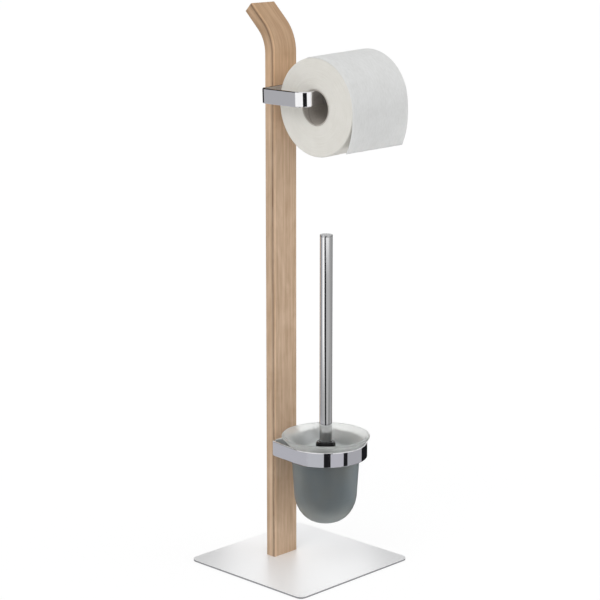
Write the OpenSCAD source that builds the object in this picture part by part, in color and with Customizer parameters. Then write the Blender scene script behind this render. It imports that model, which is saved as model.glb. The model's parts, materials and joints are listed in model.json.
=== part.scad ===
// Free-standing toilet butler: a bent laminated wood post on a polished square plate,
// a flat-bar arm with a paper roll and a flat-bar loop with a glass bowl and brush.
// Millimetres, +Z up, -Y to the front. The origin is the centre of the stand on the floor.

/* [Base plate] */
// Side of the square plate
plate_side = 200; // [180:5:260]
// Thickness of the plate
plate_t = 2.5; // [2.5:0.5:6]
// Radius of the plate's corners
plate_corner_r = 10; // [5:1:30]
// Thickness of the foam sheet under the plate
pad_t = 1; // [1:0.5:4]
// Distance from the plate's edge in to the foam's edge
pad_inset = 2; // [1:0.5:4]

/* [Post] */
// Width of the post, seen from the front
post_w = 41; // [36:1:60]
// Thickness of the post
post_t = 15; // [11:0.5:20]
// Distance from the plate's centre back to the post's front face
post_front = 25; // [20:1:40]
// Height of the post's straight part
post_straight = 651; // [640:1:760]
// Angle by which the top bends back
bend_angle = 46; // [10:1:70]
// Inner radius of the bend
bend_r = 40; // [25:1:60]
// Length of the straight end past the bend
tip_len = 30; // [15:1:60]
// Rounding of the post's long edges
post_edge_r = 1.5; // [1:0.5:4]

/* [Screws] */
// Diameter of the screws' shanks
screw_d = 4; // [3:0.5:5]
// Diameter of the countersunk heads
screw_head_d = 8; // [7.5:0.5:10]
// Distance between the two screws of a pair
screw_gap = 22; // [18:1:24]
// Depth of the foot screws in the post
foot_screw_depth = 38; // [20:1:50]

/* [Roll arm] */
// Height of the flat bar that both brackets are bent from
bar_h = 19; // [16:1:24]
// Thickness of the bar
bar_t = 2.5; // [2:0.5:3.5]
// Distance from the start of the post's bend down to the arm's middle
arm_drop = 47; // [30:0.5:70]
// Distance from the post's middle out to the arm's side leg
arm_side = 43; // [40:1:50]
// Distance from the post's front face to the middle of the arm's front leg
arm_reach = 73.5; // [73:0.5:90]
// Distance from the post's middle to the arm's open end
arm_end = 85; // [82:1:110]
// Outer radius of the rear bend
arm_rear_r = 6; // [4:0.5:8]
// Distance from the post's rounded edge in to the arm's rear end
arm_rear_inset = 1; // [0:0.5:4]
// Outer radius of the front bend
arm_front_r = 17; // [6:1:18]
// Angle by which the arm rises towards its open end, so that a roll stays on
arm_rise = 2; // [0:0.5:3]

/* [Paper roll] */
// Outer diameter of the roll
roll_d = 122; // [100:1:124]
// Width of the roll
roll_w = 100; // [90:1:102]
// Inner diameter of the cardboard core
core_bore_d = 42; // [40:0.5:46]
// Wall of the cardboard core
core_wall = 1.2; // [0.8:0.1:2]
// Distance from the arm's side leg to the roll
roll_gap = 20; // [5:1:22]
// Thickness of the loose outer sheet
sheet_t = 0.8; // [0.6:0.1:1.2]
// Length of the sheet that hangs past the roll's front
sheet_drop = 53; // [20:1:60]
// Distance by which the sheet's lower edge hangs in towards the roll
sheet_lean = 12; // [0:1:14]

/* [Bowl loop] */
// Height of the loop's upper edge above the floor
loop_top = 171; // [160:1:200]
// Outer radius of the loop's round front
loop_r = 52.5; // [52:0.5:60]
// Distance from the post's front face to the bowl's axis
loop_reach = 71; // [71:0.5:84]
// Outer radius of the loop's rear corners
loop_corner_r = 8; // [5:0.5:12]
// Angle by which each side of the loop draws in towards the rear
loop_draw = 8; // [4:1:10]
// Diameter of the two spacers that hold the loop off the post
spacer_d = 9; // [8:0.5:12]

/* [Bowl] */
// Height of the bowl
bowl_h = 114; // [105:1:125]
// Outer radius of the bowl just under the loop
bowl_r = 43; // [40:0.5:44]
// Outer radius where the round bottom starts
bowl_low_r = 40; // [36:0.5:42]
// Height of the round bottom
bowl_round_h = 40; // [30:1:46]
// Radius of the flat that the bowl stands on when it is taken out
bowl_foot_r = 9; // [6:1:16]
// Wall of the glass
bowl_wall = 4; // [3:0.5:5]
// Radius of the curve that flares the rim
flare_r = 33; // [30:1:45]
// Distance by which the rim reaches past the loop's inner edge
rim_over = 5; // [2:0.5:8]

/* [Brush] */
// Diameter of the handle tube
handle_d = 16; // [14:0.5:19]
// Wall of the handle tube
handle_wall = 1; // [0.8:0.1:1.5]
// Height of the handle's top above the bowl's rim
handle_rise = 256.5; // [200:0.5:262]
// Thickness of the cap's disc
cap_t = 2.5; // [1.5:0.5:5]
// Length of the plugs inside the tube
plug_len = 14; // [8:1:20]
// Largest diameter of the collar
collar_d = 25; // [22:0.5:30]
// Height of the collar
collar_h = 7; // [6:0.5:14]
// Wall of the collar around the tube
collar_wall = 2; // [0.8:0.1:3]
// Height of the collar's straight foot
collar_foot = 3; // [2:0.5:5]
// Depth of the collar's foot below the rim
collar_drop = 16; // [12:1:20]
// Diameter of the neck between collar and head
neck_d = 14; // [12:0.5:18]
// Height of the cone between neck and head
shoulder_h = 4; // [2:0.5:8]
// Diameter of the stud that joins handle and head
stud_d = 8; // [6:0.5:10]
// Diameter of the bristle sleeve
sleeve_d = 22; // [20:0.5:26]
// Wall of the bristle sleeve
sleeve_wall = 3; // [2:0.5:4]
// Radius of the bristle tips
bristle_r = 32.2; // [28:0.2:32.2]
// Height of the straight part of the head
head_h = 44; // [30:1:46]
// Thickness of one strand
strand_d = 1.1; // [0.9:0.1:1.2]
// Strands in one straight row
strands_per_row = 26; // [20:1:28]
// Straight rows of strands
strand_rows = 11; // [8:1:12]
// Rows of strands round the rounded end
dome_rows = 6; // [4:1:6]

/* [Clearances] */
// Gap between a resting part and its seat
seat_gap = 0.3; // [0.2:0.05:0.4]
// Radial gap of a shank, plug or stud in its hole
fit_gap = 0.05; // [0.02:0.01:0.1]
// Radial running gap between the paper and its core
run_gap = 0.05; // [0.03:0.01:0.1]

/* [Hidden] */
$fn = 96;
eps = 0.01;
// Length by which a hole runs past what it is cut for
over = 1;
// Steps of the bends, the loop's corners and round front, the glass's flare, lip and round bottom
bend_steps = 16;
corner_steps = 12;
front_steps = 64;
flare_steps = 14;
lip_steps = 10;
bottom_steps = 18;
// The strands round the head's end: their largest tilt, where the first row starts, and root depth
dome_tilt = 78;
dome_shift = 0.7;
strand_root = 1;
// The loose sheet starts at this angle round the roll, and curves in with this power of its drop
sheet_from = 80;
sheet_power = 2.5;
// The tip starts this far inside the bend, and this much slimmer, so that the two join cleanly
tip_lap = 0.5;
tip_step = 0.02;
plate_top = pad_t + plate_t;
post_back = post_front + post_t;
bend_z = plate_top + post_straight;
bend_axis_y = post_back + bend_r;
head_depth = (screw_head_d - screw_d) / 2;
screw_hole_d = screw_d + 2 * fit_gap;
screw_xs = [-screw_gap / 2, screw_gap / 2];

arm_z = bend_z - arm_drop;
bar_y = post_front - bar_t;
roll_y = post_front - arm_reach;
core_r = core_bore_d / 2;
core_out_r = core_r + core_wall;
roll_r = roll_d / 2;
roll_x0 = -arm_side + roll_gap;
arm_top = arm_z + bar_h / 2;
// The core's bore hangs on the two upper edges of the bar
roll_z = arm_top - sqrt(pow(core_r - seat_gap, 2) - pow(bar_t / 2, 2));

bowl_y = post_front - loop_reach;
loop_bottom = loop_top - bar_h;
loop_back = bowl_y + loop_r;
spacer_len = post_front - loop_back;
loop_in_r = loop_r - bar_t;

// The flare rests on the inner upper edge of the loop
flare_axis_r = bowl_r + flare_r;
flare_angle = acos((flare_axis_r - loop_in_r - rim_over) / flare_r);
flare_seat = acos((flare_axis_r - loop_in_r + seat_gap) / flare_r);
flare_z = loop_top - flare_r * sin(flare_seat);
lip_r = bowl_wall / 2;
lip_mid = flare_r + lip_r;
lip_x = flare_axis_r - lip_mid * cos(flare_angle);
lip_z = flare_z + lip_mid * sin(flare_angle);
rim_top = lip_z + lip_r;
bowl_bottom = rim_top - bowl_h;
round_z = bowl_bottom + bowl_round_h;
bowl_floor = bowl_bottom + bowl_wall;

handle_top = rim_top + handle_rise;
collar_bottom = rim_top - collar_drop;
tube_bottom = collar_bottom + collar_h / 2;
tube_top = handle_top - cap_t;
tube_in_d = handle_d - 2 * handle_wall;
dome_z = bowl_floor + seat_gap + bristle_r;
head_top = dome_z + head_h;
core_rod_d = sleeve_d - 2 * sleeve_wall;

// Points of an arc around c from angle a0 to a1
function arc(c, r, a0, a1, n) =
    [for (i = [0:n]) let (a = a0 + (a1 - a0) * i / n) [c[0] + r * cos(a), c[1] + r * sin(a)]];

module rounded_rect(w, d, r) {
    square([w - 2 * r, d], center = true);
    square([w, d - 2 * r], center = true);
    for (x = [-1, 1], y = [-1, 1]) translate([x * (w / 2 - r), y * (d / 2 - r)]) circle(r);
}

// A countersunk screw along +Z, with its head's flat at the origin
module screw(len) {
    rotate_extrude()
        polygon([[0, 0], [screw_head_d / 2, 0], [screw_d / 2, head_depth], [screw_d / 2, len], [0, len]]);
}

// The hole for that screw
module screw_hole(len) {
    rotate_extrude() polygon([[0, -eps], [screw_head_d / 2 + fit_gap, -eps],
        [screw_head_d / 2 + fit_gap, 0], [screw_hole_d / 2, head_depth],
        [screw_hole_d / 2, len], [0, len]]);
}

module base_plate() {
    color("silver") difference() {
        translate([0, 0, pad_t]) linear_extrude(plate_t)
            rounded_rect(plate_side, plate_side, plate_corner_r);
        for (x = screw_xs) translate([x, post_front + post_t / 2, pad_t]) screw_hole(plate_t + over);
    }
}

module base_pad() {
    side = plate_side - 2 * pad_inset;
    color("dimgray") linear_extrude(pad_t) rounded_rect(side, side, plate_corner_r - pad_inset);
}

// The board's cross-section, drawn in all round by inset, with its rear face's middle at the origin
module post_section(inset = 0) {
    translate([0, -post_t / 2])
        rounded_rect(post_w - 2 * inset, post_t - 2 * inset, post_edge_r - inset);
}

module post() {
    color("burlywood") difference() {
        union() {
            translate([0, post_back, plate_top]) linear_extrude(post_straight) post_section();
            translate([0, bend_axis_y, bend_z]) rotate([90, 0, -90])
                rotate_extrude(angle = bend_angle, start = 0)
                    translate([bend_r + post_t / 2, 0]) rounded_rect(post_t, post_w, post_edge_r);
            translate([0, bend_axis_y, bend_z]) rotate([-bend_angle, 0, 0])
                translate([0, -bend_r, -tip_lap]) linear_extrude(tip_len + tip_lap)
                    post_section(tip_step);
        }
        for (x = screw_xs) {
            translate([x, post_front + post_t / 2, plate_top - eps])
                cylinder(d = screw_hole_d, h = foot_screw_depth + over);
            translate([x, post_back, loop_top - bar_h / 2]) rotate([90, 0, 0]) screw_hole(post_t + over);
            arm_turn() translate([x, post_back, arm_z]) rotate([90, 0, 0]) screw_hole(post_t + over);
        }
    }
}

module post_screws() {
    color("gray") for (x = screw_xs)
        translate([x, post_front + post_t / 2, pad_t]) screw(plate_t + foot_screw_depth);
}

// The arm and all that hangs on it rise together towards +X
module arm_turn() {
    translate([0, 0, arm_z]) rotate([0, -arm_rise, 0]) translate([0, 0, -arm_z]) children();
}

module roll_arm() {
    rear_c = [-arm_side + arm_rear_r, post_front - arm_rear_r];
    front_c = [-arm_side + arm_front_r, roll_y - bar_t / 2 + arm_front_r];
    rear_end = post_w / 2 - post_edge_r - arm_rear_inset;
    outer = concat([[rear_end, post_front]], arc(rear_c, arm_rear_r, 90, 180, bend_steps),
        arc(front_c, arm_front_r, 180, 270, bend_steps), [[arm_end, roll_y - bar_t / 2]]);
    inner = concat([[arm_end, roll_y + bar_t / 2]],
        arc(front_c, arm_front_r - bar_t, 270, 180, bend_steps),
        arc(rear_c, arm_rear_r - bar_t, 180, 90, bend_steps), [[rear_end, bar_y]]);
    color("silver") arm_turn() difference() {
        translate([0, 0, arm_z - bar_h / 2]) linear_extrude(bar_h) polygon(concat(outer, inner));
        for (x = screw_xs) translate([x, post_front + over, arm_z]) rotate([90, 0, 0])
            cylinder(d = screw_hole_d, h = bar_t + 2 * over);
    }
}

module arm_screws() {
    color("gray") arm_turn() for (x = screw_xs)
        translate([x, post_back, arm_z]) rotate([90, 0, 0]) screw(post_t + bar_t);
}

// Outline of the loop, drawn in all round by inset
module loop_outline(inset) {
    r = loop_r - inset;
    cr = loop_corner_r - inset;
    corner = [loop_corner_x(), loop_r - loop_corner_r];
    polygon(concat(arc([0, 0], r, -180 - loop_draw, loop_draw, front_steps),
        arc(corner, cr, loop_draw, 90, corner_steps),
        arc([-corner[0], corner[1]], cr, 90, 180 - loop_draw, corner_steps)));
}

// The side runs tangent to the round front and to the corner
function loop_corner_x() = (loop_r - loop_corner_r) * (1 - sin(loop_draw)) / cos(loop_draw);

module bowl_loop() {
    color("silver") difference() {
        translate([0, bowl_y, loop_bottom]) linear_extrude(bar_h) difference() {
            loop_outline(0);
            loop_outline(bar_t);
        }
        for (x = screw_xs) translate([x, loop_back + over, loop_top - bar_h / 2]) rotate([90, 0, 0])
            cylinder(d = screw_hole_d, h = bar_t + 2 * over);
    }
}

module spacer(side) {
    color("silver") translate([side * screw_gap / 2, post_front, loop_top - bar_h / 2])
        rotate([90, 0, 0]) difference() {
            cylinder(d = spacer_d, h = spacer_len);
            translate([0, 0, -over]) cylinder(d = screw_hole_d, h = spacer_len + 2 * over);
        }
}

module loop_screws() {
    color("gray") for (x = screw_xs)
        translate([x, post_back, loop_top - bar_h / 2]) rotate([90, 0, 0])
            screw(post_t + spacer_len + bar_t);
}

// Half section of the glass: foot, round bottom, tapered side, flare and lip
module bowl() {
    inner_low_r = bowl_low_r - bowl_wall;
    inner_round_h = round_z - bowl_floor;
    outside = concat([[0, bowl_bottom]],
        [for (i = [0:bottom_steps]) let (a = 90 * (1 - i / bottom_steps))
            [bowl_foot_r + (bowl_low_r - bowl_foot_r) * cos(a), round_z - bowl_round_h * sin(a)]],
        arc([flare_axis_r, flare_z], flare_r, 180, 180 - flare_angle, flare_steps));
    lip = arc([lip_x, lip_z], lip_r, -flare_angle, 180 - flare_angle, lip_steps);
    inside = concat(
        arc([flare_axis_r, flare_z], flare_r + bowl_wall, 180 - flare_angle, 180, flare_steps),
        [for (i = [0:bottom_steps]) let (a = 90 * i / bottom_steps)
            [inner_low_r * cos(a), round_z - inner_round_h * sin(a)]]);
    color("lightgray") translate([0, bowl_y, 0]) rotate_extrude() polygon(concat(outside, lip, inside));
}

module brush_handle() {
    color("silver") translate([0, bowl_y, tube_bottom]) difference() {
        cylinder(d = handle_d, h = tube_top - tube_bottom);
        translate([0, 0, -over]) cylinder(d = tube_in_d, h = tube_top - tube_bottom + 2 * over);
    }
}

module handle_cap() {
    color("gray") translate([0, bowl_y, tube_top]) {
        cylinder(d = handle_d, h = cap_t);
        translate([0, 0, -plug_len]) cylinder(d = tube_in_d - 2 * fit_gap, h = plug_len + eps);
    }
}

module handle_insert() {
    color("dimgray") translate([0, bowl_y, tube_bottom]) difference() {
        cylinder(d = tube_in_d - 2 * fit_gap, h = plug_len);
        translate([0, 0, -over]) cylinder(d = stud_d + 2 * fit_gap, h = plug_len + 2 * over);
    }
}

module brush_stud() {
    color("gray") translate([0, bowl_y, collar_bottom - plug_len])
        cylinder(d = stud_d, h = plug_len + collar_h / 2 + plug_len);
}

// Flared collar with a socket for the tube
module brush_collar() {
    r = collar_d / 2;
    lip = handle_d / 2 + collar_wall;
    shoulder = collar_h - collar_foot;
    color("black") translate([0, bowl_y, collar_bottom]) difference() {
        rotate_extrude() polygon(concat([[0, 0], [r, 0], [r, collar_foot]],
            [for (i = [1:lip_steps]) let (a = 90 * i / lip_steps)
                [lip + (r - lip) * cos(a), collar_foot + shoulder * sin(a)]],
            [[0, collar_h]]));
        translate([0, 0, collar_h / 2]) cylinder(d = handle_d + 2 * fit_gap, h = collar_h);
        translate([0, 0, -over]) cylinder(d = stud_d + 2 * fit_gap, h = collar_h);
    }
}

// Rod inside the bristle sleeve, with the neck that meets the collar
module brush_core() {
    color("black") translate([0, bowl_y, 0]) difference() {
        union() {
            translate([0, 0, dome_z]) cylinder(d = core_rod_d, h = head_h + eps);
            translate([0, 0, head_top]) cylinder(d1 = sleeve_d, d2 = neck_d, h = shoulder_h);
            translate([0, 0, head_top + shoulder_h - eps])
                cylinder(d = neck_d, h = collar_bottom - head_top - shoulder_h + eps);
        }
        translate([0, 0, collar_bottom - plug_len - over])
            cylinder(d = stud_d + 2 * fit_gap, h = plug_len + 2 * over);
    }
}

// Heading and start height of each strand: straight rows first, then the rounded end
function row_strands() = [for (j = [0:strand_rows - 1], i = [0:strands_per_row - 1])
    [360 * (i + (j % 2) / 2) / strands_per_row, 0, dome_z + head_h * (j + 0.5) / strand_rows]];
function dome_strands() = [for (j = [0:dome_rows - 1])
    let (tilt = dome_tilt * (j + dome_shift) / dome_rows, n = round(strands_per_row * cos(tilt)))
    for (i = [0:n - 1]) [360 * (i + (j % 2) / 2) / n, tilt, dome_z]];
function strand_ring(s, reach) = let (
    out = [cos(s[1]) * cos(s[0]), cos(s[1]) * sin(s[0]), -sin(s[1])],
    side = [-sin(s[0]), cos(s[0]), 0],
    rise = cross(out, side),
    mid = [0, 0, s[2]] + reach * out)
    [for (k = [0:2]) mid + strand_d / 2 * (cos(120 * k + 90) * side + sin(120 * k + 90) * rise)];

module brush_bristles() {
    strands = concat(row_strands(), dome_strands());
    root = sleeve_d / 2 - strand_root;
    points = [for (s = strands) each concat(strand_ring(s, root), strand_ring(s, bristle_r))];
    faces = [for (n = [0:len(strands) - 1]) let (b = 6 * n) each concat(
        [[b, b + 1, b + 2], [b + 5, b + 4, b + 3]],
        [for (k = [0:2]) let (m = (k + 1) % 3)
            each [[b + k, b + k + 3, b + m], [b + m, b + k + 3, b + m + 3]]])];
    color("black") translate([0, bowl_y, 0]) union() {
        rotate_extrude() polygon(concat(
            arc([0, dome_z], sleeve_d / 2, -90, 0, bend_steps),
            [[sleeve_d / 2, head_top], [core_rod_d / 2 + fit_gap, head_top],
                [core_rod_d / 2 + fit_gap, dome_z - fit_gap], [0, dome_z - fit_gap]]));
        polyhedron(points, faces);
    }
}

// Lays a shape that runs along +Z onto the arm, from the roll's near face
module on_arm() {
    arm_turn() translate([roll_x0, roll_y, roll_z]) rotate([0, 90, 0]) children();
}

module roll_core() {
    color("tan") on_arm() difference() {
        cylinder(r = core_out_r, h = roll_w);
        translate([0, 0, -over]) cylinder(r = core_r, h = roll_w + 2 * over);
    }
}

module paper_roll() {
    color("white") on_arm() difference() {
        cylinder(r = roll_r, h = roll_w);
        translate([0, 0, -over]) cylinder(r = core_out_r + run_gap, h = roll_w + 2 * over);
    }
}

// The outer turn of paper over the roll's top, and its loose end hanging at the front
module paper_sheet() {
    r0 = roll_r + seat_gap;
    r1 = r0 + sheet_t;
    turn_steps = 24;
    drop_steps = 12;
    outside = [for (i = [1:drop_steps]) tail_point(r1, i / drop_steps)];
    inside = [for (i = [drop_steps:-1:1]) tail_point(r0, i / drop_steps)];
    color("white") on_arm() linear_extrude(roll_w) rotate([0, 0, 90])
        polygon(concat(arc([0, 0], r1, sheet_from, 180, turn_steps), outside,
            inside, arc([0, 0], r0, 180, sheet_from, turn_steps)));
}

// A point on the hanging end, at this share of its drop
function tail_point(r, share) = [-r + sheet_lean * pow(share, sheet_power), -sheet_drop * share];

base_plate();
base_pad();
post();
post_screws();
roll_arm();
arm_screws();
bowl_loop();
spacer(-1);  // spacer_left
spacer(1);  // spacer_right
loop_screws();
bowl();
brush_handle();
handle_cap();
handle_insert();
brush_stud();
brush_collar();
brush_core();
brush_bristles();
roll_core();
paper_roll();
paper_sheet();
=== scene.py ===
import json
import math
import random

import bmesh
import bpy
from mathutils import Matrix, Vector


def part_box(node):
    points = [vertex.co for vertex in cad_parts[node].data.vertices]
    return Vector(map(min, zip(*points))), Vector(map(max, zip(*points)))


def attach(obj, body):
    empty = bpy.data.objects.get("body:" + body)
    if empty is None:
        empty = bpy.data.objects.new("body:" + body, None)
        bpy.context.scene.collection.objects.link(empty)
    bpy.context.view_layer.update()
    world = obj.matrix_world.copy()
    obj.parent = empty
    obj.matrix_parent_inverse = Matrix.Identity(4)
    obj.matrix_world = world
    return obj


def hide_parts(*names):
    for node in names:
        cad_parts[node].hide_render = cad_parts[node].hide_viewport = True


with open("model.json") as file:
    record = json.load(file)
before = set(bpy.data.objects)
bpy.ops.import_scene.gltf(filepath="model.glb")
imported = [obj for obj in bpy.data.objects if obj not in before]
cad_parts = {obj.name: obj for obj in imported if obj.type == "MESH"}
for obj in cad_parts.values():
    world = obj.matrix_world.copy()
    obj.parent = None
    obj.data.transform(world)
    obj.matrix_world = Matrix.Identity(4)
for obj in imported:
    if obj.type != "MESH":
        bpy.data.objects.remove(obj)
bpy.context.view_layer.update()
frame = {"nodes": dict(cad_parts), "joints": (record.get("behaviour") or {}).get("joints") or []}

MM = 0.001

# Camera, solved from the photograph's plate, post and roll
CAMERA_PLACE = (-1.7280, -1.68318, 0.89599)
CAMERA_TURN = (77.167, 0.0, -45.765)
CAMERA_LENS = 117.91

# Sizes of the wooden board, which its layers and grain follow, in metres
POST_W = 41 * MM
POST_T = 15 * MM
POST_FRONT_Y = 25 * MM
BEND_Y = 80 * MM
BEND_Z = 654.5 * MM
BEND_R = BEND_Y - POST_FRONT_Y
BEND_ANGLE = math.radians(46)

# Sizes of the paper, in the turned frame of the roll, in metres
ROLL_R = 61 * MM
ROLL_W = 100 * MM
CORE_OUT_R = 22.25 * MM
SHEET_DROP = 53 * MM
SHEET_LEAN = 12 * MM
SHEET_POWER = 2.5
SHEET_SKEW = 1.1 * MM
EDGE_ALONG = 3.4 * MM
EDGE_DROP = 1.5 * MM

# Sizes of the brush head and its sleeve, in metres
SLEEVE_R = 11 * MM
SLEEVE_BORE_R = 8.05 * MM
BRISTLE_R = 32.2 * MM
BRISTLE_ROOT_R = SLEEVE_R - 1 * MM
BRISTLE_ROOT_THICK = 0.34 * MM
BRISTLE_TIP_THICK = 0.22 * MM
HEAD_H = 44 * MM
AXIS_R = 0.001 * MM

# Wood: its tones, then how bright it is at each depth behind the front face, and the painted shade at each
# distance along the board from the bend's start, darker where the bend turns
WOOD_DARK = (0.468, 0.313, 0.196)
WOOD_LIGHT = (0.675, 0.49, 0.345)
WOOD_SPOT = (0.17, 0.09, 0.045)
WOOD_LAYERS = ((0, 0.85), (0.8 * MM, 0.80), (1.6 * MM, 0.54), (2.6 * MM, 0.64), (4.0 * MM, 0.86),
               (6.0 * MM, 1.03), (7.5 * MM, 1.04), (9.0 * MM, 0.96), (12.0 * MM, 0.92), (POST_T, 0.94))
WOOD_BEND_FROM, WOOD_BEND_TO = -0.16, 0.10
WOOD_BEND_SHADE = ((-0.16, 1.0), (-0.01, 1.0), (0.02, 0.84), (0.04, 0.82), (0.07, 0.86))

# Depth of the wood's glue line, and how far in from the board's edge a painted highlight runs down its front
GLUE_LINE = 1.6 * MM
HIGHLIGHT_IN = 2.2 * MM

# Below the bowl's top: where the painted light on its glass starts, and where it is strongest
RIM_LIGHT_START, RIM_LIGHT_FULL = 30 * MM, 16 * MM

# Above the bowl's top: where the painted shade on the handle's foot ends, where its chrome is bright, and
# the share of its brightness that the shaded foot keeps
SHADE_TO, BRIGHT_FROM, SHADE_SHARE = 12 * MM, 17 * MM, 0.52

# Light: the dome and the lamps together bring a white face to about 1
DOME_STRENGTH = 0.60
DOME_COLOUR = (0.97, 0.985, 1.0, 1)
FLOOR_GLOW = 0.86
FLOOR_SHADE = 0.16
FLOOR_BOUNCE = 0.85
FLOOR_REACH = 30.0

# Studio cards stand on the first radius, and those that hang over the stand on the second, in metres
CARD_R = 2.4
OVER_R = 0.6

# Heights on the cards. The loop sees them up to LOOP, the handle from FOOT to TIP and the arm from ARM up
FLOOR, LOOP, FOOT, LOW, HIGH, NECK, TIP, ARM, TOP = -3, -0.525, -0.50, -0.43, -0.28, -0.12, 0.0, 0.08, 0.9
BEHIND_LOW, BEHIND_HIGH = 0.05, 0.6
SOFT_LOW, SOFT_HIGH = 0.45, 1.8
OVER_CAP, OVER_LOW, OVER_HIGH = 0.53, 0.65, 2.0

# Flags: how far out their foot and their top stand, from where to where they run, and their height
FLAG_OUT, FLAG_IN, FLAG_NEAR, FLAG_FAR, FLAG_H = 0.155, 0.105, -0.1, 0.4, 0.09

# Colours of the cards. The softbox is brighter than white, for the shine on the plate
BLACK = (0.012, 0.012, 0.014)
WHITE = (1.0, 1.0, 1.0)
SOFTBOX = (1.5, 1.5, 1.5)


class Shader:
    """A material with one Principled BSDF, and short ways to add nodes to it."""

    def __init__(self, name):
        self.material = bpy.data.materials.new(name)
        self.material.use_nodes = True
        self.nodes = self.material.node_tree.nodes
        self.links = self.material.node_tree.links
        self.bsdf = self.nodes["Principled BSDF"]
        self.output = self.nodes["Material Output"]

    def put(self, socket, value):
        if isinstance(value, bpy.types.NodeSocket):
            self.links.new(value, socket)
        else:
            socket.default_value = value

    def set(self, **values):
        for name, value in values.items():
            self.put(self.bsdf.inputs[name.replace("_", " ")], value)

    def math(self, operation, a, b=0.0):
        node = self.nodes.new("ShaderNodeMath")
        node.operation = operation
        self.put(node.inputs[0], a)
        self.put(node.inputs[1], b)
        return node.outputs[0]

    def plus(self, a, b):
        return self.math("ADD", a, b)

    def minus(self, a, b):
        return self.math("SUBTRACT", a, b)

    def times(self, a, b):
        return self.math("MULTIPLY", a, b)

    def length(self, a, b):
        """Distance of the point (a, b) from the origin."""
        return self.math("SQRT", self.plus(self.times(a, a), self.times(b, b)))

    def vector(self, x, y, z):
        node = self.nodes.new("ShaderNodeCombineXYZ")
        for socket, value in zip(node.inputs, (x, y, z)):
            self.put(socket, value)
        return node.outputs[0]

    def place(self):
        """The point on the piece, in metres, as x, y and z."""
        coord = self.nodes.new("ShaderNodeTexCoord")
        split = self.nodes.new("ShaderNodeSeparateXYZ")
        self.links.new(coord.outputs["Object"], split.inputs[0])
        return split.outputs[0], split.outputs[1], split.outputs[2]

    def object_coord(self):
        return self.nodes.new("ShaderNodeTexCoord").outputs["Object"]

    def noise(self, vector, scale=1.0, detail=3.0, roughness=0.5, distortion=0.0):
        node = self.nodes.new("ShaderNodeTexNoise")
        self.put(node.inputs["Vector"], vector)
        node.inputs["Scale"].default_value = scale
        node.inputs["Detail"].default_value = detail
        node.inputs["Roughness"].default_value = roughness
        node.inputs["Distortion"].default_value = distortion
        return node.outputs["Fac"]

    def spread(self, value, low, high, to_low=0.0, to_high=1.0):
        node = self.nodes.new("ShaderNodeMapRange")
        self.put(node.inputs["Value"], value)
        for name, v in (("From Min", low), ("From Max", high), ("To Min", to_low), ("To Max", to_high)):
            node.inputs[name].default_value = v
        return node.outputs[0]

    def ramp(self, value, low, high, stops):
        """A number that follows the stops: each is a value between low and high, and what it gives."""
        node = self.nodes.new("ShaderNodeValToRGB")
        self.put(node.inputs[0], self.spread(value, low, high))
        elements = node.color_ramp.elements
        while len(elements) > 1:
            elements.remove(elements[-1])
        for i, (place, level) in enumerate(stops):
            share = (place - low) / (high - low)
            if i:
                elements.new(share)
            elements[i].position = share
            elements[i].color = (level, level, level, 1)
        split = self.nodes.new("ShaderNodeSeparateColor")
        self.links.new(node.outputs[0], split.inputs[0])
        return split.outputs[0]

    def mix(self, factor, a, b, blend="MIX"):
        node = self.nodes.new("ShaderNodeMix")
        node.data_type = "RGBA"
        node.blend_type = blend
        self.put(node.inputs[0], factor)
        for socket, value in zip((node.inputs[6], node.inputs[7]), (a, b)):
            self.put(socket, value if isinstance(value, bpy.types.NodeSocket) else (*value, 1.0))
        return node.outputs[2]

    def bump(self, height, strength, distance):
        node = self.nodes.new("ShaderNodeBump")
        node.inputs["Strength"].default_value = strength
        node.inputs["Distance"].default_value = distance
        self.put(node.inputs["Height"], height)
        self.links.new(node.outputs[0], self.bsdf.inputs["Normal"])
        return self


def chrome(name, colour, rough, rough_spread, smudge_size, shaded_foot=None):
    """Plated steel: a mirror with faint smudges and a very shallow waviness from polishing. An optional pair
    of heights and a share paints shade on a foot: the metal keeps that share of its brightness up to the
    first height, and all of it from the second on."""
    s = Shader(name)
    smudge = s.noise(s.object_coord(), 1 / smudge_size, 4, 0.6)
    tone = (*colour, 1)
    if shaded_foot:
        low, high, share = shaded_foot
        tone = s.mix(s.spread(s.place()[2], low, high), [share * c for c in colour], colour)
    s.set(Base_Color=tone, Metallic=1.0,
          Roughness=s.spread(smudge, 0.35, 0.7, rough, rough + rough_spread))
    return s.bump(s.noise(s.object_coord(), 90, 1), 0.04, 0.2 * MM).material


def satin_plate(name):
    """Satin steel with a fine directionless finish. Its cut side is coloured darker than its face: painted
    shade.
    """
    s = Shader(name)
    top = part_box("base_plate")[1].z
    smudge = s.noise(s.object_coord(), 12, 4, 0.6)
    fine = s.noise(s.object_coord(), 1800, 2)
    # The darker colour below the top face is painted shade on the cut side
    face = s.spread(s.place()[2], top - 0.9 * MM, top - 0.3 * MM)
    s.set(Base_Color=s.mix(face, (0.30, 0.30, 0.31), (0.97, 0.97, 0.975)), Metallic=0.22,
          Roughness=s.spread(smudge, 0.3, 0.7, 0.40, 0.44), Specular_IOR_Level=0.3)
    return s.bump(fine, 0.04, 0.02 * MM).material


def board_point(s):
    """Place in the bent board: across it, behind its front face, and along it from the bend's start."""
    x, y, z = s.place()
    back = s.minus(BEND_Y, y)
    up = s.minus(z, BEND_Z)
    angle = s.math("ARCTAN2", up, back)
    turned = s.math("MINIMUM", s.math("MAXIMUM", angle, 0.0), BEND_ANGLE)
    radius = s.length(up, back)
    off = s.minus(angle, turned)
    depth = s.minus(BEND_R, s.times(radius, s.math("COSINE", off)))
    along = s.plus(s.times(radius, s.math("SINE", off)), s.times(turned, BEND_R))
    return x, depth, along


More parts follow.
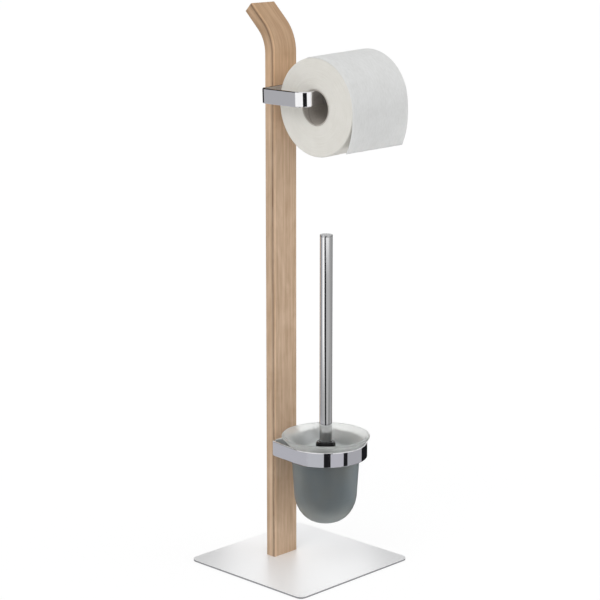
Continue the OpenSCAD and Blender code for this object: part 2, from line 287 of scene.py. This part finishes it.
def wood(name):
    """Bent lamination: fine grain runs along the board, and its layers show on the sides."""
    s = Shader(name)
    x, depth, along = board_point(s)

    def grain(across, down, distortion=0.0, detail=3):
        place = s.vector(s.times(x, across), s.times(depth, across), s.times(along, down))
        return s.noise(place, 1, detail, 0.55, distortion)

    # Streaks, fine fibres, broad bands and soft clouds
    streak, fine = grain(330, 9, 0.5, 4), grain(1500, 45, 0.0, 2)
    broad, cloud = grain(70, 3.5, 0.6), grain(28, 16, 1.0)
    figure = s.plus(s.plus(s.times(streak, 0.34), s.times(fine, 0.2)),
                    s.plus(s.times(broad, 0.2), s.times(cloud, 0.26)))
    tone = s.mix(s.spread(figure, 0.405, 0.595), WOOD_DARK, WOOD_LIGHT)

    # Tone of the layers, from the front face back. Their lines wander a little on the way up
    drift = s.noise(s.vector(0.3, 0.0, s.times(along, 14)), 1, 2)
    layer = s.plus(depth, s.times(s.minus(drift, 0.5), 1.6 * MM))
    layers = s.ramp(layer, 0.0, POST_T, WOOD_LAYERS)
    side = s.spread(s.math("ABSOLUTE", x), POST_W / 2 - 1.0 * MM, POST_W / 2 - 0.3 * MM)
    side_tone = s.plus(1.0, s.times(side, s.minus(layers, 1.0)))

    # Dark spots along the glue line, and a painted highlight on the front face beside it
    spots = s.noise(s.vector(0.7, 0.0, s.times(along, 26)), 1, 3, 0.7)
    off_line = s.math("ABSOLUTE", s.minus(layer, GLUE_LINE))
    near_line = s.spread(off_line, 0.2 * MM, 1.3 * MM, 1.0, 0.0)
    spot = s.times(s.times(side, near_line), s.spread(spots, 0.46, 0.68, 0.12, 0.8))
    off_highlight = s.math("ABSOLUTE", s.plus(x, POST_W / 2 - HIGHLIGHT_IN))
    edge_highlight = s.spread(off_highlight, 0.6 * MM, 1.7 * MM, 0.27, 0.0)
    # The ramp along the board paints shade into the bend
    level = s.times(s.plus(side_tone, edge_highlight), s.ramp(along, WOOD_BEND_FROM, WOOD_BEND_TO, WOOD_BEND_SHADE))

    # The bent top is warmer than the straight board below it
    warm = s.spread(along, -0.12, -0.03)
    less_green = s.minus(1.0, s.times(warm, 0.07))
    less_blue = s.minus(1.0, s.times(warm, 0.16))
    tint = s.vector(level, s.times(level, less_green), s.times(level, less_blue))
    shaded = s.mix(1.0, tone, tint, "MULTIPLY")
    s.set(Base_Color=s.mix(spot, shaded, WOOD_SPOT), Roughness=s.spread(fine, 0.3, 0.7, 0.45, 0.6),
          Specular_IOR_Level=0.3)
    return s.bump(s.plus(streak, s.times(fine, 0.6)), 0.2, 0.1 * MM).material


def frosted_glass(name):
    """Etched glass: light passes through it blurred. It is coloured paler towards the rim than in the round
    body: painted light.
    """
    s = Shader(name)
    cloud = s.spread(s.noise(s.object_coord(), 22, 2, 0.5), 0.35, 0.65)
    fine = s.noise(s.object_coord(), 2500, 2)
    body = s.mix(cloud, (0.455, 0.515, 0.54), (0.53, 0.55, 0.53))
    rim_light = s.spread(s.place()[2], bowl_top - RIM_LIGHT_START, bowl_top - RIM_LIGHT_FULL)
    s.set(Base_Color=s.mix(rim_light, body, (0.95, 0.965, 0.95)), IOR=1.5,
          Roughness=s.spread(cloud, 0.3, 0.7, 0.40, 0.46), Transmission_Weight=0.84)
    return s.bump(fine, 0.1, 0.02 * MM).material


def black_plastic(name, rough):
    s = Shader(name)
    fine = s.noise(s.object_coord(), 400, 3)
    s.set(Base_Color=s.mix(fine, (0.004, 0.004, 0.0045), (0.009, 0.009, 0.0095)),
          Roughness=s.spread(fine, 0.3, 0.7, rough, rough + 0.08), Specular_IOR_Level=0.14)
    return s.bump(fine, 0.05, 0.05 * MM).material


def foam(name):
    s = Shader(name)
    cell = s.noise(s.object_coord(), 1400, 2)
    s.set(Base_Color=s.mix(cell, (0.01, 0.01, 0.011), (0.05, 0.05, 0.052)), Roughness=0.95)
    return s.bump(cell, 0.6, 0.3 * MM).material


def screw_steel(name):
    s = Shader(name)
    x, y, z = s.place()
    turned = s.noise(s.vector(s.times(x, 200), s.times(y, 3000), s.times(z, 3000)))
    s.set(Base_Color=(0.5, 0.5, 0.52, 1), Metallic=1.0, Roughness=s.spread(turned, 0.3, 0.7, 0.25, 0.45))
    return s.bump(turned, 0.1, 0.05 * MM).material


def roll_point(s):
    """Place on the roll: distance along its axis, and the two distances across it."""
    x, y, z = s.place()
    dx = s.minus(x, roll_pos.x)
    dz = s.minus(z, roll_pos.z)
    along = s.plus(s.times(dx, roll_axis.x), s.times(dz, roll_axis.z))
    up = s.minus(s.times(dz, roll_axis.x), s.times(dx, roll_axis.z))
    return along, s.minus(y, roll_pos.y), up


def paper(name, colour_low, colour_high):
    """Soft tissue: wound layers show on the ends, and a soft crepe on the round side."""
    s = Shader(name)
    along, across, up = roll_point(s)
    radius = s.length(across, up)
    turn = s.math("ARCTAN2", across, up)
    spiral = s.plus(s.times(radius, 1900), s.times(turn, 0.16))
    rings = s.noise(s.vector(spiral, s.times(turn, 1.5), 0.0), 1, 2)
    crepe = s.noise(s.vector(s.times(along, 420), s.times(turn, 9.0), radius), 1, 3, 0.6)
    soft = s.noise(s.object_coord(), 60, 3, 0.55)
    end = s.math("ABSOLUTE", s.minus(along, ROLL_W / 2))
    on_end = s.spread(end, ROLL_W / 2 - 1.4 * MM, ROLL_W / 2 - 0.6 * MM)
    fibre = s.plus(s.times(on_end, rings), s.times(s.minus(1.0, on_end), crepe))
    tone = s.plus(s.times(fibre, 0.6), s.times(soft, 0.4))
    s.set(Base_Color=s.mix(s.spread(tone, 0.35, 0.65), colour_low, colour_high), Roughness=0.9,
          Specular_IOR_Level=0.15, Subsurface_Weight=0.3, Subsurface_Radius=(3 * MM, 3 * MM, 3 * MM),
          Subsurface_Scale=1.0)
    return s.bump(fibre, 0.3, 0.3 * MM).material


def cardboard(name):
    s = Shader(name)
    along, across, up = roll_point(s)
    turn = s.math("ARCTAN2", across, up)
    seam = s.math("FRACT", s.plus(s.times(along, 22), s.times(turn, 1 / math.tau)))
    line = s.spread(s.math("ABSOLUTE", s.minus(seam, 0.5)), 0.0, 0.03, 0.7, 0.0)
    fibre = s.noise(s.object_coord(), 500, 4, 0.65)
    tone = s.mix(s.spread(fibre, 0.3, 0.7), (0.46, 0.425, 0.385), (0.56, 0.52, 0.475))
    s.set(Base_Color=s.mix(line, tone, (0.30, 0.27, 0.24)), Roughness=0.85)
    return s.bump(fibre, 0.2, 0.1 * MM).material


def bristle_plastic(name):
    s = Shader(name)
    shade = s.noise(s.object_coord(), 900, 1)
    s.set(Base_Color=s.mix(shade, (0.008, 0.009, 0.010), (0.028, 0.030, 0.032)), Roughness=0.4)
    return s.material


def dress(node, material):
    """Gives a CAD node its material."""
    piece = frame["nodes"][node]
    piece.data.materials.clear()
    piece.data.materials.append(material)
    for face in piece.data.polygons:
        face.material_index = 0


def round_edges(node, width):
    """Rounds a CAD node's sharp edges for their highlight, without a change to its mesh. The even normals
    keep the reflections on its flat faces straight."""
    piece = frame["nodes"][node]
    weld = piece.modifiers.new("weld", "WELD")
    weld.merge_threshold = 0.002 * MM
    bevel = piece.modifiers.new("bevel", "BEVEL")
    bevel.width = width
    bevel.segments = 3
    bevel.limit_method = "ANGLE"
    bevel.angle_limit = math.radians(40)
    even = piece.modifiers.new("even", "WEIGHTED_NORMAL")
    even.weight = 100
    even.keep_sharp = True


def new_piece(name, vertices, faces, material, smooth=True):
    mesh = bpy.data.meshes.new(name)
    mesh.from_pydata(vertices, [], faces)
    mesh.update()
    piece = bpy.data.objects.new(name, mesh)
    bpy.context.scene.collection.objects.link(piece)
    mesh.materials.append(material)
    if smooth:
        mesh.shade_smooth()
    return piece


def on_roll(along, across, up):
    """A point given in the roll's own frame, in the row frame."""
    return roll_pos + roll_axis * along + Vector((0, across, 0)) + roll_up * up


def closed_grid(rows, columns):
    """Faces of a grid of points that closes on itself both ways."""
    return [(i * columns + j, i * columns + (j + 1) % columns,
             (i + 1) % rows * columns + (j + 1) % columns, (i + 1) % rows * columns + j)
            for i in range(rows) for j in range(columns)]


def edge_drop(along):
    """How far the paper's side draws in near its edge, at this distance from the edge."""
    share = max(0.0, 1 - along / EDGE_ALONG)
    return EDGE_DROP * (1 - math.sqrt(1 - share * share))


def make_paper_roll(material):
    """The wound tissue: soft edges, ends that are a little uneven, and a faintly dented side."""
    rng = random.Random(11)
    turns, end_rings, edge_steps, side_steps, bore_steps = 192, 26, 7, 14, 3
    end_w = ROLL_R - EDGE_DROP - CORE_OUT_R
    edge = [(0.0, CORE_OUT_R + end_w * i / (end_rings - 1)) for i in range(end_rings)]
    for i in range(1, edge_steps + 1):
        along = EDGE_ALONG * (1 - math.cos(math.pi / 2 * i / edge_steps))
        edge.append((along, ROLL_R - edge_drop(along)))
    side = [(EDGE_ALONG + (ROLL_W - 2 * EDGE_ALONG) * i / side_steps, ROLL_R) for i in range(1, side_steps)]
    far_edge = [(ROLL_W - along, r) for along, r in reversed(edge)]
    bore = [(ROLL_W * (1 - i / bore_steps), CORE_OUT_R) for i in range(1, bore_steps)]
    profile = edge + side + far_edge + bore

    # Slow waves dent the side, and each ring of the wound ends stands in by its own small step
    waves = [(rng.randint(2, 6), rng.uniform(0, math.tau), rng.uniform(0.03, 0.10) * MM) for _ in range(5)]
    ring_step = [rng.uniform(0, 0.28) * MM for _ in range(len(profile))]
    vertices = []
    for j, (along, r) in enumerate(profile):
        for k in range(turns):
            t = math.tau * k / turns
            sag = sum(size * (1 + math.sin(n * t + phase + 25 * along)) for n, phase, size in waves)
            share = min(1.0, max(0.0, (r - CORE_OUT_R) / (ROLL_R - CORE_OUT_R)))
            inward = sag * share * share * 0.5
            a = along
            if along < 0.5 * MM or along > ROLL_W - 0.5 * MM:
                step = ring_step[j] + inward * 0.6
                a += step if along < ROLL_W / 2 else -step
            rr = r - inward if r > CORE_OUT_R + 0.1 * MM else r
            vertices.append(on_roll(a, rr * math.sin(t), rr * math.cos(t)))
    piece = new_piece("tissue_roll", vertices, closed_grid(len(profile), turns), material)
    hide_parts("paper_roll")
    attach(piece, "roll")


def sheet_path():
    """Middle line of the loose sheet, as (across, up): over the roll, then down its free end."""
    points = []
    start, end = math.radians(78), math.radians(180)
    start_gap, gap = 0.15 * MM, 0.6 * MM
    arc_steps, drop_steps = 44, 26
    for i in range(arc_steps + 1):
        s = i / arc_steps
        a = start + (end - start) * s
        r = ROLL_R + start_gap + (gap - start_gap) * min(1.0, 3 * s)
        points.append((r * math.cos(a), r * math.sin(a)))
    r = ROLL_R + gap
    for i in range(1, drop_steps + 1):
        s = i / drop_steps
        points.append((-r + SHEET_LEAN * s ** SHEET_POWER, -SHEET_DROP * s))
    return points


def make_sheet(material):
    """The outer turn and its hanging end, as one thin sheet with soft folds and a perforated edge."""
    rng = random.Random(5)
    half_t, inset, nick = 0.12 * MM, 0.25 * MM, 0.45 * MM
    free_from = 100 * MM
    path = sheet_path()
    columns = 90
    waves = [(rng.uniform(40, 160), rng.uniform(0, math.tau), rng.uniform(0.02, 0.07) * MM) for _ in range(6)]
    lengths = [0.0]
    for p, q in zip(path, path[1:]):
        lengths.append(lengths[-1] + math.hypot(q[0] - p[0], q[1] - p[1]))
    total = lengths[-1]
    front, back = [], []
    for i, (across, up) in enumerate(path):
        before, after = path[max(0, i - 1)], path[min(len(path) - 1, i + 1)]
        d = Vector((after[0] - before[0], after[1] - before[1])).normalized()
        normal = Vector((d.y, -d.x))
        if normal.dot(Vector((across, up))) < 0:
            normal = -normal
        share = lengths[i] / total
        free = max(0.0, (lengths[i] - free_from) / (total - free_from))
        for c in range(columns + 1):
            a = ROLL_W * c / columns
            skew = SHEET_SKEW * max(0.0, -up / SHEET_DROP) * (2 * c / columns - 1)
            ripple = sum(size * math.sin(k * a * 6 + phase + 3 * share) for k, phase, size in waves)
            ripple *= 0.25 + 1.4 * free
            a_in = inset + a * (1 - 2 * inset / ROLL_W)
            point = Vector((across - 0.7 * skew, up - skew)) + normal * ripple * 0.6
            point -= normal * edge_drop(min(a_in, ROLL_W - a_in)) * (1 - free)
            if i == len(path) - 1 and c % 2:
                point.y += nick
            front.append(on_roll(a_in, *(point + normal * half_t)))
            back.append(on_roll(a_in, *(point - normal * half_t)))

    # Faces of its front and its back, then of the narrow border between them
    rows, wide = len(path), columns + 1
    vertices = front + back
    offset = len(front)
    faces = []
    for i in range(rows - 1):
        for c in range(columns):
            a, b = i * wide + c, i * wide + c + 1
            faces.append((a, b, b + wide, a + wide))
            faces.append((offset + a, offset + a + wide, offset + b + wide, offset + b))
    border = [i * wide for i in range(rows)]
    border += [(rows - 1) * wide + c for c in range(1, wide)]
    border += [i * wide + columns for i in range(rows - 2, -1, -1)]
    border += list(range(columns - 1, 0, -1))
    for a, b in zip(border, border[1:] + border[:1]):
        faces.append((a, b, offset + b, offset + a))
    piece = new_piece("tissue_sheet", vertices, faces, material)
    mesh = bmesh.new()
    mesh.from_mesh(piece.data)
    bmesh.ops.recalc_face_normals(mesh, faces=mesh.faces)
    mesh.to_mesh(piece.data)
    mesh.free()
    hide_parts("paper_sheet")
    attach(piece, "roll_carrier")


def make_bristles(material):
    """The brush head's strands, in staggered rings that close over the rounded end."""
    rng = random.Random(3)
    low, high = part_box("brush_core")
    centre = (low + high) / 2
    dome_z = low.z
    per_ring, rows, dome_rings, sides, segments = 64, 21, 13, 4, 3
    steepest = math.radians(88)
    strands = []
    for row in range(rows):
        z = dome_z + HEAD_H * (row + 0.5) / rows
        for k in range(per_ring):
            strands.append((math.tau * (k + 0.5 * (row % 2)) / per_ring, 0.0, z))
    for ring in range(dome_rings):
        tilt = steepest * (ring + 0.6) / dome_rings
        count = max(3, round(per_ring * math.cos(tilt)))
        for k in range(count):
            strands.append((math.tau * (k + 0.5 * (ring % 2)) / count, tilt, dome_z))
    vertices, faces = [], []
    for turn, tilt, z in strands:
        turn += rng.uniform(-0.02, 0.02)
        tilt += rng.uniform(-0.02, 0.02)
        bend = rng.uniform(-0.9, 0.9) * MM
        reach = BRISTLE_R - rng.uniform(0.1, 1.3) * MM
        out = Vector((math.cos(tilt) * math.cos(turn), math.cos(tilt) * math.sin(turn), -math.sin(tilt)))
        side = Vector((-math.sin(turn), math.cos(turn), 0))
        rise = out.cross(side)
        base = len(vertices)
        for i in range(segments + 1):
            s = i / segments
            r = BRISTLE_ROOT_R + (reach - BRISTLE_ROOT_R) * s
            thick = BRISTLE_ROOT_THICK + (BRISTLE_TIP_THICK - BRISTLE_ROOT_THICK) * s
            mid = Vector((centre.x, centre.y, z)) + out * r + rise * bend * s * s
            for k in range(sides):
                a = math.tau * k / sides
                vertices.append(mid + (side * math.cos(a) + rise * math.sin(a)) * thick)
        for i in range(segments):
            for k in range(sides):
                m = (k + 1) % sides
                b = base + i * sides
                faces.append((b + k, b + m, b + sides + m, b + sides + k))
        faces.append(tuple(base + k for k in reversed(range(sides))))
        faces.append(tuple(base + segments * sides + k for k in range(sides)))

    # The sleeve that holds the strands, round the core
    sleeve_turns, dome_steps = 48, 8
    profile = [(AXIS_R, dome_z - SLEEVE_R)]
    for i in range(1, dome_steps + 1):
        a = math.pi / 2 * i / dome_steps
        profile.append((SLEEVE_R * math.sin(a), dome_z - SLEEVE_R * math.cos(a)))
    floor_z = dome_z - 0.05 * MM
    profile += [(SLEEVE_R, dome_z + HEAD_H), (SLEEVE_BORE_R, dome_z + HEAD_H), (SLEEVE_BORE_R, floor_z),
                (AXIS_R, floor_z)]
    base = len(vertices)
    for r, z in profile:
        for k in range(sleeve_turns):
            t = math.tau * k / sleeve_turns
            vertices.append(Vector((centre.x + r * math.cos(t), centre.y + r * math.sin(t), z)))
    faces += [tuple(base + v for v in f) for f in closed_grid(len(profile), sleeve_turns)]
    piece = new_piece("bristle_head", vertices, faces, material, smooth=False)
    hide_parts("brush_bristles")
    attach(piece, "brush")


def make_card(name, rows, radius):
    """A curved studio card round the stand, which only polished metal sees. Each row gives a height, the
    turns between which the card runs there, from -X to -Y, and its colour. Between rows all of it blends."""
    steps = 24
    vertices, faces, colours = [], [], []
    for z, turn_from, turn_to, colour in rows:
        for i in range(steps + 1):
            a = math.radians(turn_from + (turn_to - turn_from) * i / steps)
            vertices.append((-radius * math.cos(a), -radius * math.sin(a), z))
            colours += (*colour, 1.0)
    for j in range(len(rows) - 1):
        for i in range(steps):
            a = j * (steps + 1) + i
            faces.append((a, a + 1, a + steps + 2, a + steps + 1))
    card = new_piece(name, vertices, faces, CARD_GLOW)
    card.data.color_attributes.new("glow", "FLOAT_COLOR", "POINT").data.foreach_set("color", colours)
    only_for_metal(card)


def make_flag(name, corners):
    """A black flag that keeps light off polished metal: corners are its four points."""
    only_for_metal(new_piece(name, corners, [(0, 1, 2, 3)], FLAG_BLACK, smooth=False))


def only_for_metal(card):
    card.visible_camera = False
    card.visible_diffuse = False
    card.visible_shadow = False
    card.visible_transmission = False


def glow(name, colour=None):
    """An even glow of one colour, or of the colours that a card's points carry."""
    s = Shader(name)
    s.nodes.remove(s.bsdf)
    light = s.nodes.new("ShaderNodeEmission")
    if colour is None:
        carried = s.nodes.new("ShaderNodeVertexColor")
        carried.layer_name = "glow"
        s.links.new(carried.outputs[0], light.inputs["Color"])
    else:
        light.inputs["Color"].default_value = (*colour, 1)
    s.links.new(light.outputs[0], s.output.inputs["Surface"])
    return s.material


def seen_by(nodes, links, *rays):
    """One for a ray of any of these kinds, and zero for others."""
    path = nodes.new("ShaderNodeLightPath")
    seen = path.outputs[rays[0]]
    for ray in rays[1:]:
        either = nodes.new("ShaderNodeMath")
        either.operation = "MAXIMUM"
        links.new(seen, either.inputs[0])
        links.new(path.outputs[ray], either.inputs[1])
        seen = either.outputs[0]
    return seen


def mix_into(nodes, links, factor, a, b, output):
    """Gives the output a where the factor is zero, and b where it is one."""
    mixed = nodes.new("ShaderNodeMixShader")
    for socket, value in zip(mixed.inputs, (factor, a.outputs[0], b.outputs[0])):
        links.new(value, socket)
    links.new(mixed.outputs[0], nodes.new(output).inputs["Surface"])


def make_floor():
    """A pale floor that keeps the object's shadow. Metal sees the studio cards in its place."""
    cells = 6
    marks = [FLOOR_REACH * (2 * i / cells - 1) for i in range(cells + 1)]
    vertices = [(x, y, 0.0) for x in marks for y in marks]
    faces = []
    for i in range(cells):
        for j in range(cells):
            a = i * (cells + 1) + j
            faces.append((a, a + cells + 1, a + cells + 2, a + 1))
    material = bpy.data.materials.new("floor")
    material.use_nodes = True
    nodes, links = material.node_tree.nodes, material.node_tree.links
    nodes.clear()
    bright = nodes.new("ShaderNodeEmission")
    bright.inputs["Strength"].default_value = FLOOR_GLOW
    faint = nodes.new("ShaderNodeBsdfDiffuse")
    faint.inputs["Color"].default_value = (FLOOR_SHADE, FLOOR_SHADE, FLOOR_SHADE, 1)
    both = nodes.new("ShaderNodeAddShader")
    links.new(bright.outputs[0], both.inputs[0])
    links.new(faint.outputs[0], both.inputs[1])
    plain = nodes.new("ShaderNodeBsdfDiffuse")
    plain.inputs["Color"].default_value = (FLOOR_BOUNCE, FLOOR_BOUNCE, FLOOR_BOUNCE, 1)
    seen = seen_by(nodes, links, "Is Camera Ray", "Is Transmission Ray")
    mix_into(nodes, links, seen, plain, both, "ShaderNodeOutputMaterial")
    floor = new_piece("floor", vertices, faces, material, smooth=False)
    floor.visible_glossy = False


def make_world():
    """A soft even dome. Camera, glass and metal see it as white."""
    world = bpy.data.worlds.new("studio")
    bpy.context.scene.world = world
    world.use_nodes = True
    nodes, links = world.node_tree.nodes, world.node_tree.links
    nodes.clear()
    dome = nodes.new("ShaderNodeBackground")
    dome.inputs["Color"].default_value = DOME_COLOUR
    dome.inputs["Strength"].default_value = DOME_STRENGTH
    white = nodes.new("ShaderNodeBackground")
    white.inputs["Strength"].default_value = 1.0
    seen = seen_by(nodes, links, "Is Camera Ray", "Is Transmission Ray", "Is Glossy Ray")
    mix_into(nodes, links, seen, dome, white, "ShaderNodeOutputWorld")


def make_sun(name, turn, height, share, spread, colour):
    """A soft lamp far away, at this turn from -X to -Y and this height, in degrees. Its share is how bright
    it makes a white face that it meets squarely."""
    lamp = bpy.data.lights.new(name, "SUN")
    lamp.energy = share * math.pi
    lamp.angle = math.radians(spread)
    lamp.color = colour
    sun = bpy.data.objects.new(name, lamp)
    bpy.context.scene.collection.objects.link(sun)
    a, h = math.radians(turn), math.radians(height)
    outward = Vector((-math.cos(a) * math.cos(h), -math.sin(a) * math.cos(h), math.sin(h)))
    sun.rotation_euler = outward.to_track_quat("Z", "Y").to_euler()
    sun.visible_glossy = False


def make_camera():
    lens = bpy.data.cameras.new("camera")
    lens.lens = CAMERA_LENS
    lens.sensor_width = 36
    lens.clip_start = 0.1
    lens.clip_end = 100
    camera = bpy.data.objects.new("camera", lens)
    bpy.context.scene.collection.objects.link(camera)
    camera.location = CAMERA_PLACE
    camera.rotation_euler = [math.radians(a) for a in CAMERA_TURN]
    bpy.context.scene.camera = camera


def grey(level, blue=0.0):
    return (level, level, level + blue)


def even_rows(low, high, turn_from, turn_to, colour):
    """Two rows between which a card stays the same."""
    return (low, turn_from, turn_to, colour), (high, turn_from, turn_to, colour)


bowl_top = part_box("bowl")[1].z
roll_joint = next(j for j in frame["joints"] if j["name"] == "roll_turn")
roll_pos = Vector(roll_joint["pos_m"])
roll_axis = Vector(roll_joint["axis"]).normalized()
roll_up = roll_axis.cross(Vector((0, 1, 0)))

make_camera()
make_world()
make_floor()
make_sun("key", turn=26, height=42, share=0.36, spread=50, colour=(1.0, 0.985, 0.965))
make_sun("fill", turn=118, height=30, share=0.19, spread=60, colour=(0.97, 0.985, 1.0))

# The studio that polished metal sees, from its back left round the front to its back right
CARD_GLOW = glow("card_glow")
FLAG_BLACK = glow("flag_black", BLACK)
cards = {
    "card_back": even_rows(BEHIND_LOW, BEHIND_HIGH, -115, -47, BLACK),
    "card_left": (
        *even_rows(FLOOR, LOOP, -135, -5.7, grey(0.46, 0.035)),
        (FOOT, -135, -19, grey(0.34, 0.015)), (TIP, -135, -30, grey(0.34, 0.015)),
        (TIP, -70, -30, grey(0.36, 0.02)),
        *even_rows(ARM, TOP, -47, -37, grey(0.425, 0.02))),
    "card_edge": (
        *even_rows(FLOOR, LOOP, -5.7, -3.5, WHITE),
        (FOOT, -19, -16, grey(0.42)), (LOW, -20, -17, grey(0.45)), (HIGH, -23, -20, WHITE),
        (TIP, -30, -27, WHITE),
        *even_rows(ARM, TOP, -37, -30, WHITE)),
    "card_near": (
        *even_rows(FLOOR, LOOP, -3.5, 37.5, (0.50, 0.508, 0.54)),
        (FOOT, -16, 29, grey(0.42)), (LOW, -17, 27, grey(0.45)), (HIGH, -20, 15, WHITE),
        (NECK, -24, 14, WHITE), (TIP, -27, 10, WHITE),
        *even_rows(ARM, TOP, -30, 38, WHITE)),
    "card_black": (
        *even_rows(FLOOR, LOOP, 37.5, 55.6, BLACK),
        (FOOT, 29, 54, BLACK), (LOW, 27, 52, BLACK), (HIGH, 15, 46, BLACK), (NECK, 14, 43, BLACK),
        (TIP, 10, 34, BLACK),
        *even_rows(ARM, TOP, 38, 66, BLACK)),
    "card_front": (
        *even_rows(FLOOR, LOOP, 55.6, 93.5, (0.49, 0.486, 0.527)),
        (FOOT, 54, 93, grey(0.46)), (LOW, 52, 93, grey(0.46)), (HIGH, 46, 93, grey(0.46)),
        (NECK, 43, 90, grey(0.47)), (TIP, 34, 88, grey(0.95)),
        *even_rows(ARM, TOP, 66, 122, WHITE)),
    "card_gap": (
        *even_rows(FLOOR, LOOP, 93.5, 106, BLACK),
        *even_rows(FOOT, LOW, 93, 112, grey(0.2)),
        (HIGH, 93, 112, grey(0.42)), (NECK, 90, 112, grey(0.42)), (TIP, 88, 112, grey(0.5))),
    "card_right": (
        *even_rows(FLOOR, LOOP, 106, 161, grey(0.40, 0.025)),
        *even_rows(FOOT, TIP, 112, 160, grey(0.34)),
        *even_rows(ARM, TOP, 122, 161, grey(0.85))),
    "card_side": (
        *even_rows(FLOOR, LOOP, 161, 222, BLACK),
        *even_rows(FOOT, TIP, 160, 222, grey(0.24))),
    "card_behind": even_rows(BEHIND_LOW, BEHIND_HIGH, 161, 205, BLACK),
    "card_soft": even_rows(SOFT_LOW, SOFT_HIGH, 194, 254, SOFTBOX),
}
for name, rows in cards.items():
    make_card(name, rows, CARD_R)

# Black cards above, for the dark upper edges of the arm and the loop, and a grey one for the handle's end
make_card("card_over_left", even_rows(OVER_LOW, OVER_HIGH, -135, -34, BLACK), OVER_R)
make_card("card_over_back", even_rows(OVER_LOW, OVER_HIGH, 132, 224, BLACK), OVER_R)
make_card("card_over_cap", even_rows(OVER_CAP, OVER_LOW, 205, 243, grey(0.6)), OVER_R)

# Flags that lean in over the plate's two outer corners, along the line of sight, and darken them
camera_turn = math.radians(CAMERA_TURN[2])
to_right = Vector((math.cos(camera_turn), math.sin(camera_turn), 0))
away = Vector((-to_right.y, to_right.x, 0))
for name, side in (("flag_left", -1), ("flag_right", 1)):
    make_flag(name, [to_right * side * out + away * d + Vector((0, 0, z)) for out, d, z in (
        (FLAG_OUT, FLAG_NEAR, 0), (FLAG_OUT, FLAG_FAR, 0), (FLAG_IN, FLAG_FAR, FLAG_H),
        (FLAG_IN, FLAG_NEAR, FLAG_H))])

# Materials, and the rounded edges of the CAD nodes that keep their shape
bar_chrome = chrome("bar_chrome", (0.90, 0.90, 0.915), 0.03, 0.04, 0.03)
plate_chrome = satin_plate("plate_chrome")
cap_chrome = chrome("cap_chrome", (0.59, 0.59, 0.595), 0.12, 0.05, 0.03)
# The handle's foot inside the bowl is toned darker: painted shade
handle_chrome = chrome("handle_chrome", (0.90, 0.90, 0.91), 0.04, 0.04, 0.04,
                       shaded_foot=(bowl_top + SHADE_TO, bowl_top + BRIGHT_FROM, SHADE_SHARE))
steel = screw_steel("screw_steel")
gloss_black = black_plastic("gloss_black", 0.12)
dress("base_plate", plate_chrome)
dress("base_pad", foam("foam"))
dress("post", wood("laminated_wood"))
for node in ("roll_arm", "bowl_loop", "spacer_left", "spacer_right"):
    dress(node, bar_chrome)
for node in ("post_screws", "arm_screws", "loop_screws", "brush_stud"):
    dress(node, steel)
dress("bowl", frosted_glass("frosted_glass"))
dress("brush_handle", handle_chrome)
dress("handle_cap", cap_chrome)
for node in ("handle_insert", "brush_collar"):
    dress(node, gloss_black)
dress("brush_core", black_plastic("core_black", 0.3))
dress("roll_core", cardboard("core_board"))
for node, width in (("base_plate", 0.6), ("roll_arm", 1.2), ("bowl_loop", 0.9), ("handle_cap", 0.8),
                    ("brush_collar", 0.3)):
    round_edges(node, width * MM)

# Soft pieces in place of the CAD's plain solids
make_paper_roll(paper("tissue_end", (0.742, 0.72, 0.665), (0.802, 0.782, 0.733)))
make_sheet(paper("tissue_side", (0.735, 0.735, 0.72), (0.805, 0.805, 0.795)))
make_bristles(bristle_plastic("bristle_black"))

bpy.context.scene.view_settings.view_transform = "Standard"
bpy.context.view_layer.update()
